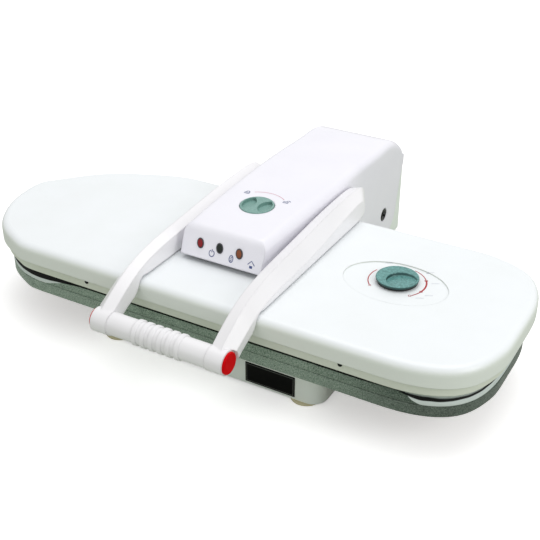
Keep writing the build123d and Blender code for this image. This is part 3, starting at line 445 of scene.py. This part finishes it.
# the dial: a low disc with a narrow foot and one round pocket towards the user, sizes in mm; side is its profile
# as radius and height, foot the radius outside which and the height below which it is painted black as the shadow
# under its rim, and tilt the place and the slope of the fall of the pocket's floor
dialValues = {"x": 176.0, "y": 14.5, "seat": 107.4, "radius": 23.2, "tall": 5.4, "lip": 1.9,
              "pocket": (7.15, -5.2, 16.8), "shallow": 0.8, "deep": 4.2, "tilt": (0.75, 0.5), "wall": 0.7,
              "spindle": 3.9, "spindleLow": 91.0, "foot": (21.4, 2.25), "hub": 0.05, "topRings": 60, "lipRings": 8,
              "lipFrom": 0.5, "around": 220,
              "side": [(22.3, 5.4), (22.85, 5.15), (23.15, 4.6), (23.2, 3.9), (22.9, 3.3), (22.3, 2.9), (22.3, 2.6),
                       (22.6, 2.35), (21.9, 2.15), (21.9, 0.3), (21.6, 0.0), (3.9, 0.0)]}


def makeDial():
    # height = tall - depth * S(distance inside the pocket / wall) * S(distance inside the lip / wall), where S is a
    # smoothstep and the depth grows from the user's side to the far side; below it the side profile is turned round
    v = dialValues
    t = np.linspace(0, fullTurn, v["around"], endpoint=False)
    px, py, pr = v["pocket"]
    toward = np.array([px, py]) / math.hypot(px, py)
    inner = v["radius"] - v["lip"]

    def smooth(k):
        k = np.clip(k, 0, 1)
        return k * k * (3 - 2 * k)

    def ring(r, height):
        return np.stack([r * np.cos(t), r * np.sin(t), np.full(len(t), height)], 1)

    rings = []
    for r in np.concatenate([np.linspace(v["hub"], inner - v["wall"], v["topRings"]),
                             np.linspace(inner - v["lipFrom"], v["side"][0][0], v["lipRings"])]):
        x, y = r * np.cos(t), r * np.sin(t)
        fall = np.clip(v["tilt"][0] - (x * toward[0] + y * toward[1]) / pr * v["tilt"][1], 0, 1)
        depth = v["shallow"] + (v["deep"] - v["shallow"]) * fall
        inside = smooth((pr - np.hypot(x - px, y - py)) / v["wall"]) * smooth((inner - r) / v["wall"])
        rings.append(np.stack([x, y, v["tall"] - depth * inside], 1))
    rings += [ring(r, z) for r, z in v["side"][1:]] + [ring(v["spindle"], v["spindleLow"] - v["seat"])]
    rings = [one + [v["x"], v["y"], v["seat"]] for one in rings]
    thing = solidOf("dialDisc", rings, finishes["darkTealNylon"], "dial", "dial_knob")
    thing.data.materials.append(finishes["blackNylon"])  # the foot painted black as the shadow under the dial's rim
    middles = np.zeros(len(thing.data.polygons) * 3)
    thing.data.polygons.foreach_get("center", middles)
    spots = middles.reshape(-1, 3) / mm - [v["x"], v["y"] + shiftY / mm, v["seat"]]
    foot = (np.hypot(spots[:, 0], spots[:, 1]) > v["foot"][0]) & (spots[:, 2] < v["foot"][1])
    thing.data.polygons.foreach_set("material_index", foot.astype(int))


makeDial()

# the hinge buttons: a dished head with a slot and a rounded rim, sizes in mm, rimFrom a share of the radius
buttonValues = {"y": 253.0, "z": 50.0, "face": 57.1, "back": 56.35, "radius": 8.6, "dish": 0.55, "slotWide": 1.1,
                "slotDeep": 0.5, "slotSoft": 0.25, "slotTurn": 35.0, "rimFrom": 0.93, "rimDrop": 0.35,
                "hub": 0.01, "dishTo": 0.9, "dishRings": 26, "rimRings": (0.94, 0.97, 1.0), "around": 160}


def makeButtons():
    # x = face - dish * (1 - (r / R)^2) - slot depth where |across| is under half the slot's width; the rim falls
    # away as a parabola
    v = buttonValues
    t = np.linspace(0, fullTurn, v["around"], endpoint=False)
    a = math.radians(v["slotTurn"])
    for name, side in (("hingeButtonRight", 1), ("hingeButtonLeft", -1)):
        rings = []
        for share in np.concatenate([np.linspace(v["hub"], v["dishTo"], v["dishRings"]), v["rimRings"]]):
            y, z = v["radius"] * share * np.cos(t), v["radius"] * share * np.sin(t)
            across = y * math.sin(a) + z * math.cos(a)
            dished = share < v["rimFrom"]
            slot = v["slotDeep"] * np.clip((v["slotWide"] - np.abs(across)) / v["slotSoft"], 0, 1) * dished
            drop = v["rimDrop"] * max(0.0, (share - v["rimFrom"]) / (1 - v["rimFrom"])) ** 2
            x = v["face"] - v["dish"] * (1 - share ** 2) * dished - drop - slot
            rings.append(np.stack([side * x, v["y"] + y, v["z"] + z], 1))
        rings.append(rings[-1] * [0, 1, 1] + [side * v["back"], 0, 0])
        solidOf(name, rings, finishes["darkChrome"], "head", "pivot_caps")


makeButtons()

# the arm's housing with cheeks that reach forward to the hot plate's cover: inner and outer are across, the other
# places are y and z, all in mm, angles in degrees
cheekValues = {"inner": 54.75, "outer": 57.5, "corner": (127.0, 115.5), "low": (127.0, 97.0), "foot": (225.5, 20.9),
               "inside": (233.0, 86.0), "centre": (253.0, 50.0), "radius": 38.5, "from": 226.6, "to": 133.4,
               "arcPoints": 12, "sharp": 28}


def makeHousing():
    # the CAD housing joined to a plate on each side, whose outline is corner, low, foot, an arc and a point inside
    # the old cheek
    v = cheekValues
    a = np.radians(np.linspace(v["from"], v["to"], v["arcPoints"]))
    arc = np.stack([v["centre"][0] + v["radius"] * np.cos(a), v["centre"][1] + v["radius"] * np.sin(a)], 1)
    line = np.concatenate([[v["corner"], v["low"], v["foot"]], arc, [v["inside"]]])
    n = len(line)
    points, faces = [], []
    for k, side in enumerate((-1, 1)):
        points += [np.column_stack([np.full(n, side * v[x]), line]) for x in ("inner", "outer")]
        near, far = k * 2 * n, (k * 2 + 1) * n
        faces += [[near + i, near + (i + 1) % n, far + (i + 1) % n, far + i] for i in range(n)]
        faces += [[near + i for i in range(n)][::-1], [far + i for i in range(n)]]
    plates = meshOf("cheekPlates", np.concatenate(points) * mm + [0, shiftY, 0], faces, finishes["armAbs"],
                    smooth=False)
    source = nodes["arm_housing"].data
    thing = meshOf("armCasing", [tuple(p.co) for p in source.vertices], [tuple(f.vertices) for f in source.polygons],
                   finishes["armAbs"])
    for piece in (plates, thing):
        closeMesh(piece.data)
    join = thing.modifiers.new("join", "BOOLEAN")
    join.operation, join.solver, join.object = "UNION", "EXACT", plates
    joined = bpy.data.meshes.new_from_object(thing.evaluated_get(bpy.context.evaluated_depsgraph_get()))
    thing.modifiers.clear()
    thing.data = joined
    joined.materials.clear()
    joined.materials.append(finishes["armAbs"])
    joined.polygons.foreach_set("use_smooth", [True] * len(joined.polygons))
    joined.set_sharp_from_angle(angle=math.radians(v["sharp"]))
    bpy.data.objects.remove(plates)
    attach(thing, "head")
    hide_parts("arm_housing")


makeHousing()
print("dial, hinge buttons and housing made")


# printed marks: thin strips laid on the casings; lift is their height over the casing, before how far ahead of it
# the search for the casing starts, above the height of plan paths, all in mm
markValues = {"lift": 0.12, "before": 50.0, "above": 200.0}
trees = {}


def surfaceOf(name):
    # a node's faces, ready for a search along a line
    if name not in trees:
        data = nodes[name].data
        trees[name] = BVHTree.FromPolygons([v.co.copy() for v in data.vertices],
                                           [tuple(p.vertices) for p in data.polygons])
    return trees[name]


def printLine(name, path, width, node, finish, way=(0, 0, -1), lift=markValues["lift"]):
    # points at half a width to each side of the path, dropped on the node's surface along one direction
    way = Vector(way)
    points = np.asarray(path)
    side = np.cross(np.gradient(points, axis=0), np.array(way))
    side /= np.maximum(np.linalg.norm(side, axis=1), 1e-9)[:, None]
    half = side * (width * mm) / 2
    rows = []
    for start in np.stack([points - half, points + half], 1).reshape(-1, 3):
        spot, normal = surfaceOf(node).ray_cast(Vector(start) - way * markValues["before"] * mm, way)[:2]
        if spot is None:
            spot, normal = Vector(start), -way
        if normal.dot(way) > 0:
            normal = -normal
        rows.append(spot + normal * lift * mm)
    i = np.arange(len(points) - 1) * 2
    made = meshOf(name, rows, np.stack([i, i + 1, i + 3, i + 2], 1).tolist(), finishes[finish])
    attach(made, "head" if node != "label_plate" else "base")


def planPath(x, y, radius=0.0, low=0.0, high=0.0, count=32):
    # an arc in plan, in mm and degrees, above the head; x + r cos a, y + r sin a
    a = np.radians(np.linspace(low, high, count))
    height = np.full(count, markValues["above"])
    return np.stack([x + radius * np.cos(a), y + radius * np.sin(a), height], 1) * mm + [0, shiftY, 0]


def planSpot(x, y):
    # one place in plan, in mm
    return planPath(x, y, count=1)[0]


# scale round the dial: arcs as from, to and width, ring-shaped stops as angle and radius, and short ticks as angle
# and distance, angles in degrees from the right
dialMarks = {"x": 176.0, "y": 14.5, "radius": 31.0,
             "arcs": [(158, 222, 1.1), (75, 31, 1.0), (31, -14, 1.8), (-14, -38, 1.3)],
             "stops": [(225, 1.1), (31, 1.5), (-14, 1.5), (-42, 1.5)], "ringWidth": 0.6, "ringLift": 0.16,
             "ticks": [(133, 40.0), (56, 37.0), (22, 36.0), (-19, 38.5), (-36, 37.0)], "tick": (7.5, 4.0),
             "tickWidth": 0.5}
d = dialMarks
for k, (low, high, width) in enumerate(d["arcs"]):
    printLine("dialArc%d" % k, planPath(d["x"], d["y"], d["radius"], low, high), width, "cover_shell", "redInk")
for k, (angle, radius) in enumerate(d["stops"]):
    centre = planPath(d["x"], d["y"], d["radius"], angle, angle, 1)[0] / mm - [0, shiftY / mm, 0]
    printLine("dialStop%d" % k, planPath(centre[0], centre[1], radius, 0, 360, 20), d["ringWidth"], "cover_shell",
              "redInk", lift=d["ringLift"])
for k, (angle, radius) in enumerate(d["ticks"]):
    start = planPath(d["x"], d["y"], radius, angle, angle, 1)[0]
    stop = start + np.array([d["tick"][0], d["tick"][1], 0]) * mm
    printLine("dialTick%d" % k, np.linspace(start, stop, 4), d["tickWidth"], "cover_shell", "greyInk")

# arc and two padlocks behind the lock knob: body is half the padlock's width, bodyDrop how far its body lies below
# the padlock's place, sizes in mm
lockMarks = {"x": 0.0, "y": 20.5, "radius": 33.0, "sweep": (52, 125), "width": 1.0, "body": 3.0, "bodyTall": 3.4,
             "bodyDrop": 2.0, "edge": 0.5, "lift": 0.15, "shut": (-26.0, 44.0), "open": (24.7, 44.0),
             "shackle": 0.9, "shackleRise": 0.4, "shackleShare": 0.7, "openShift": 2.2}
m = lockMarks
printLine("lockArc", planPath(m["x"], m["y"], m["radius"], *m["sweep"]), m["width"], "arm_housing", "pinkInk")
for name, slide in (("shut", 0.0), ("open", m["openShift"])):
    x, y = m[name]
    low = y - m["bodyDrop"]
    printLine("padlockBody" + name, np.linspace(planSpot(x - m["body"], low), planSpot(x + m["body"], low), 4),
              m["bodyTall"], "arm_housing", "greyInk")
    corners = np.array([(-1, -0.5, 0), (1, -0.5, 0), (1, 0.5, 0), (-1, 0.5, 0), (-1, -0.5, 0)])
    corners = planSpot(x, low) + corners * [m["body"] * mm, m["bodyTall"] * mm, 1]
    for k in range(4):
        printLine("padlockEdge%s%d" % (name, k), np.linspace(corners[k], corners[k + 1], 3), m["edge"],
                  "arm_housing", "navyInk", lift=m["lift"])
    shackle = planPath(x + slide, y + m["shackleRise"], m["body"] * m["shackleShare"], 0, 180, 14)
    printLine("padlockShackle" + name, shackle, m["shackle"], "arm_housing", "navyInk", lift=m["lift"])

# signs under the lamps, in mm across and up from their middles on the leaning front face; rings as half width,
# half height, from and to in degrees
signValues = {"row": 122.3, "before": -75.0, "line": 0.9,
              "power": -12.1, "powerRing": (3.2, 3.2, 115, 425), "powerBar": [(0, 1.0), (0, 2.7), (0, 4.4)],
              "heat": 12.5, "heatRing": (2.3, 3.5, 0, 360),
              "heatWave": [(-0.8, -2.4), (0.5, -1.0), (-0.5, 0.6), (0.8, 2.2)], "waveLine": 0.8,
              "steam": 37.5, "steamRoof": [(-4.2, -0.6), (0, 3.6), (4.2, -0.6)],
              "steamDrop": [(-1.8, -2.6), (0, -2.6), (1.8, -2.6)], "dropLine": 2.6}


def ringPairs(wide, tall, low, high, count=26):
    # an ellipse or a part of one: across = wide cos a, up = tall sin a
    a = np.radians(np.linspace(low, high, count))
    return np.stack([wide * np.cos(a), tall * np.sin(a)], 1)


def signLine(name, place, pairs, width=signValues["line"]):
    # pairs across and up from the sign's middle, set in front of the face and printed straight back on it
    v = signValues
    across, up = np.asarray(pairs, float).T
    path = np.stack([v[place] + across, np.full(len(up), v["before"]), v["row"] + up], 1) * mm + [0, shiftY, 0]
    printLine(name, path, width, "arm_housing", "navyInk", way=(0, 1, 0))


s = signValues
signLine("signPowerRing", "power", ringPairs(*s["powerRing"]))
signLine("signPowerBar", "power", s["powerBar"])
signLine("signHeatRing", "heat", ringPairs(*s["heatRing"]))
signLine("signHeatWave", "heat", s["heatWave"], s["waveLine"])
signLine("signSteamRoof", "steam", s["steamRoof"])
signLine("signSteamDrop", "steam", s["steamDrop"], s["dropLine"])

# a fine frame line inside the black plate, sizes in mm
plateMarks = {"inset": 1.8, "width": 0.45, "before": 10.0}
p = plateMarks
low, high = (np.array(c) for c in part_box("label_plate"))
left, right, down, up = (low[0] + p["inset"] * mm, high[0] - p["inset"] * mm, low[2] + p["inset"] * mm,
                         high[2] - p["inset"] * mm)
corners = [(left, down), (right, down), (right, up), (left, up), (left, down)]
for k in range(4):
    ends = np.array([(x, low[1] - p["before"] * mm, z) for x, z in corners[k:k + 2]])
    printLine("plateFrame%d" % k, np.linspace(ends[0], ends[1], 3), p["width"], "label_plate", "silverInk",
              way=(0, 1, 0))
print("marks printed")


# studio: a white floor that keeps the shadow, and soft lamps; each lamp as name, place, size and watts, in metres
studioValues = {"floor": "#FFFFFF", "bounce": "#C2C7BD", "floorSize": 3.0, "floorLift": 0.42, "sky": 0.6,
                "aim": (0, 0, 0.08),
                "lamps": [("topLamp", (0.0, 0.3, 1.9), 1.8, 13.6), ("rightLamp", (1.9, -0.3, 1.2), 1.2, 8.5),
                          ("frontLamp", (-0.6, -2.0, 0.9), 1.2, 1.5)]}


def makeFloorPaint():
    # dull white paint, lifted a little for rays straight from the camera; greyer for the light it throws back
    v = studioValues
    made, tree = newMaterial("floorPaint")
    paint = add(tree, "ShaderNodeBsdfDiffuse", {"Color": linear(v["floor"])})
    lift = add(tree, "ShaderNodeEmission", {"Strength": v["floorLift"]})
    both = add(tree, "ShaderNodeAddShader", {}, i0=paint.outputs[0], i1=lift.outputs[0])
    dull = add(tree, "ShaderNodeBsdfDiffuse", {"Color": linear(v["bounce"])})
    path = add(tree, "ShaderNodeLightPath")
    mix = add(tree, "ShaderNodeMixShader", {}, i0=path.outputs["Is Camera Ray"], i1=dull.outputs[0],
              i2=both.outputs[0])
    add(tree, "ShaderNodeOutputMaterial", {}, Surface=mix.outputs[0])
    return made


def makeSky():
    # white where the camera or a mirror looks past the floor, a softer white as the light
    world = bpy.data.worlds.new("studioSky")
    bpy.context.scene.world = world
    world.use_nodes = True
    tree = world.node_tree
    tree.nodes.clear()
    path = add(tree, "ShaderNodeLightPath")
    seen = add(tree, "ShaderNodeMath", {"operation": "MAXIMUM"}, i0=path.outputs["Is Camera Ray"],
               i1=path.outputs["Is Glossy Ray"])
    low = add(tree, "ShaderNodeBackground", {"Color": (1, 1, 1, 1), "Strength": studioValues["sky"]})
    high = add(tree, "ShaderNodeBackground", {"Color": (1, 1, 1, 1), "Strength": 1.0})
    mix = add(tree, "ShaderNodeMixShader", {}, i0=seen.outputs[0], i1=low.outputs[0], i2=high.outputs[0])
    add(tree, "ShaderNodeOutputWorld", {}, Surface=mix.outputs[0])


def makeLamps():
    # round soft lamps, each turned so that it looks at the object's middle
    aim = Vector(studioValues["aim"])
    for name, spot, size, power in studioValues["lamps"]:
        lamp = bpy.data.lights.new(name, "AREA")
        lamp.shape = "DISK"
        lamp.size = size
        lamp.energy = power
        thing = bpy.data.objects.new(name, lamp)
        bpy.context.scene.collection.objects.link(thing)
        thing.location = spot
        thing.rotation_euler = (aim - Vector(spot)).to_track_quat("-Z", "Y").to_euler()


far = studioValues["floorSize"]
floor = meshOf("studioFloor", [(-far, -far, 0), (far, -far, 0), (far, far, 0), (-far, far, 0)], [(0, 1, 2, 3)],
               makeFloorPaint(), smooth=False)
makeSky()
makeLamps()

# the photograph's view: angles in degrees, lens and sensor in mm, spot and near in metres
cameraValues = {"azimuth": 29.619, "height": 30.288, "roll": 0.227, "lens": 66.17, "sensor": 36, "near": 0.01,
                "spot": (0.5058, -0.90405, 0.6488)}


def makeCamera():
    # back = (sin a cos e, -cos a cos e, sin e), right = (cos a, sin a, 0), both turned by the roll
    v = cameraValues
    a, e, r = (math.radians(v[k]) for k in ("azimuth", "height", "roll"))
    back = Vector((math.sin(a) * math.cos(e), -math.cos(a) * math.cos(e), math.sin(e)))
    right = Vector((math.cos(a), math.sin(a), 0))
    up = back.cross(right)
    right, up = right * math.cos(r) + up * math.sin(r), up * math.cos(r) - right * math.sin(r)
    lens = bpy.data.cameras.new("photoCamera")
    lens.lens = v["lens"]
    lens.sensor_width = v["sensor"]
    lens.clip_start = v["near"]
    thing = bpy.data.objects.new("photoCamera", lens)
    bpy.context.scene.collection.objects.link(thing)
    thing.matrix_world = Matrix.Translation(v["spot"]) @ Matrix((right, up, back)).transposed().to_4x4()
    bpy.context.scene.camera = thing


makeCamera()
bpy.context.scene.view_settings.view_transform = "Standard"
print("stage set")
